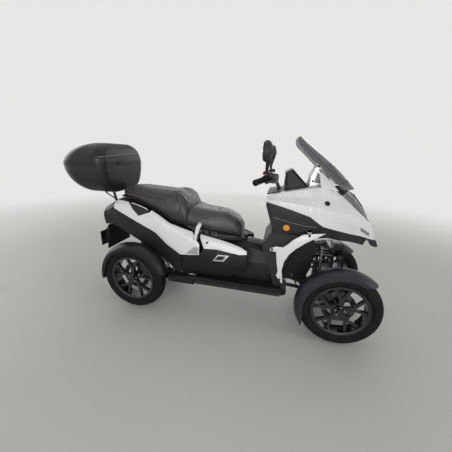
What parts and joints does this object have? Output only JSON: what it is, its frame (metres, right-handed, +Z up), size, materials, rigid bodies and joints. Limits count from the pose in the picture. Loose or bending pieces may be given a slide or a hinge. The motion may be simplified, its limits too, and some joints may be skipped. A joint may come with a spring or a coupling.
{
  "type": "tilting four-wheel scooter",
  "caption": "Leaning scooter on four wheels with front tilt linkage, faired nose and screen, long stepped seat over a storage bucket, rear rack and lidded top case",
  "frame": {"origin": "on the ground under the middle of the bounding box", "axes": "+X forward, +Y left, +Z up"},
  "size_m": [2.4661, 0.8046, 1.3799],
  "materials": {
    "white_gloss": "gloss white moulded panels",
    "black_satin": "satin charcoal moulded plastic",
    "black_metal": "black painted steel and alloy",
    "steel": "bare steel",
    "alloy": "silver alloy",
    "tyre": "black tyre rubber",
    "smoked": "smoked clear sheet",
    "lamp_glass": "dark glossy lamp cover",
    "lens": "amber and grey lenses",
    "red_lens": "red lens",
    "seat_cover": "dark grey seat cover",
    "battery": "sealed block"
  },
  "bodies": {
    "chassis": {"beak": "black_satin", "body_sides": "white_gloss", "case_base": "black_satin", "dash": "black_satin", "fairing": "white_gloss", "floor_pan": "black_satin", "frame": "black_metal", "front_keel": "black_satin", "lamp_panel": "lamp_glass", "leg_shield": "black_satin", "plate_holder": "black_satin", "power_block": "battery", "rack": "black_metal", "rear_arms": "black_metal", "rear_mudguard_left": "black_satin", "rear_mudguard_right": "black_satin", "rear_shocks": "alloy", "rest_hangers": "black_metal", "screen_brackets": "alloy", "seat_bucket": "black_satin", "side_lamps": "lens", "side_panels": "black_satin", "side_pods": "black_satin", "tail_arches": "black_satin", "tail_lamp": "red_lens", "tilt_arms": "black_metal", "tilt_struts": "alloy", "tilt_tower": "black_metal", "tunnel_cover": "black_satin", "windscreen": "smoked", "wing_brackets": "white_gloss"},
    "steering": {"handlebar": "black_metal", "controls": "black_satin", "mirrors": "black_satin"},
    "crank": {"steer_crank": "black_metal"},
    "rod_left": {"tie_rod_left": "steel"},
    "rod_right": {"tie_rod_right": "steel"},
    "hub_left": {"knuckle_left": "black_metal", "front_mudguard_left": "black_satin"},
    "hub_right": {"knuckle_right": "black_metal", "front_mudguard_right": "black_satin"},
    "seat": {"seat_pan": "black_satin", "rider_seat": "seat_cover", "passenger_seat": "seat_cover"},
    "lid": {"case_lid": "black_satin"},
    "rest_left": {"footrest_left": "white_gloss"},
    "rest_right": {"footrest_right": "white_gloss"},
    "front_left_wheel": {"front_rim_left": "black_metal", "front_tyre_left": "tyre"},
    "front_right_wheel": {"front_rim_right": "black_metal", "front_tyre_right": "tyre"},
    "rear_left_wheel": {"rear_rim_left": "black_metal", "rear_tyre_left": "tyre"},
    "rear_right_wheel": {"rear_rim_right": "black_metal", "rear_tyre_right": "tyre"}
  },
  "joints": [
    {"name": "steer", "type": "hinge", "parent": "chassis", "child": "steering", "pos_m": [0.462, 0, 1.085], "axis": [-0.454, 0, 0.891], "range_deg": [-28, 28]},
    {"name": "crank_turn", "type": "hinge", "parent": "chassis", "child": "crank", "pos_m": [1.035, 0, 0.296], "axis": [0, 0, 1], "range_deg": [-28, 28]},
    {"name": "kingpin_left", "type": "hinge", "parent": "chassis", "child": "hub_left", "pos_m": [0.967, 0.19, 0.266], "axis": [0, 0, 1], "range_deg": [-28, 28]},
    {"name": "rod_pivot_left", "type": "hinge", "parent": "crank", "child": "rod_left", "pos_m": [1.115, 0.025, 0.313], "axis": [0, 0, 1], "range_deg": [-28, 28]},
    {"name": "front_left_spin", "type": "hinge", "parent": "hub_left", "child": "front_left_wheel", "pos_m": [0.967, 0.275, 0.266], "axis": [0, 1, 0], "continuous": true},
    {"name": "rear_left_spin", "type": "hinge", "parent": "chassis", "child": "rear_left_wheel", "pos_m": [-0.593, 0.275, 0.266], "axis": [0, 1, 0], "continuous": true},
    {"name": "rest_left_fold", "type": "hinge", "parent": "chassis", "child": "rest_left", "pos_m": [-0.065, 0.262, 0.652], "axis": [-1, 0, 0], "range_deg": [0, 85]},
    {"name": "kingpin_right", "type": "hinge", "parent": "chassis", "child": "hub_right", "pos_m": [0.967, -0.19, 0.266], "axis": [0, 0, 1], "range_deg": [-28, 28]},
    {"name": "rod_pivot_right", "type": "hinge", "parent": "crank", "child": "rod_right", "pos_m": [1.115, -0.025, 0.313], "axis": [0, 0, 1], "range_deg": [-28, 28]},
    {"name": "front_right_spin", "type": "hinge", "parent": "hub_right", "child": "front_right_wheel", "pos_m": [0.967, -0.275, 0.266], "axis": [0, 1, 0], "continuous": true},
    {"name": "rear_right_spin", "type": "hinge", "parent": "chassis", "child": "rear_right_wheel", "pos_m": [-0.593, -0.275, 0.266], "axis": [0, 1, 0], "continuous": true},
    {"name": "rest_right_fold", "type": "hinge", "parent": "chassis", "child": "rest_right", "pos_m": [-0.065, -0.262, 0.652], "axis": [1, 0, 0], "range_deg": [0, 85]},
    {"name": "seat_open", "type": "hinge", "parent": "chassis", "child": "seat", "pos_m": [0.273, 0, 0.634], "axis": [0, 1, 0], "range_deg": [0, 60]},
    {"name": "lid_open", "type": "hinge", "parent": "chassis", "child": "lid", "pos_m": [-0.781, 0, 1.156], "axis": [0, 1, 0], "range_deg": [0, 75]}
  ],
  "couplings": [
    {"joint": "crank_turn", "follows": "steer", "ratio": 1},
    {"joint": "kingpin_left", "follows": "steer", "ratio": 1},
    {"joint": "rod_pivot_left", "follows": "steer", "ratio": -1},
    {"joint": "kingpin_right", "follows": "steer", "ratio": 1},
    {"joint": "rod_pivot_right", "follows": "steer", "ratio": -1}
  ]
}
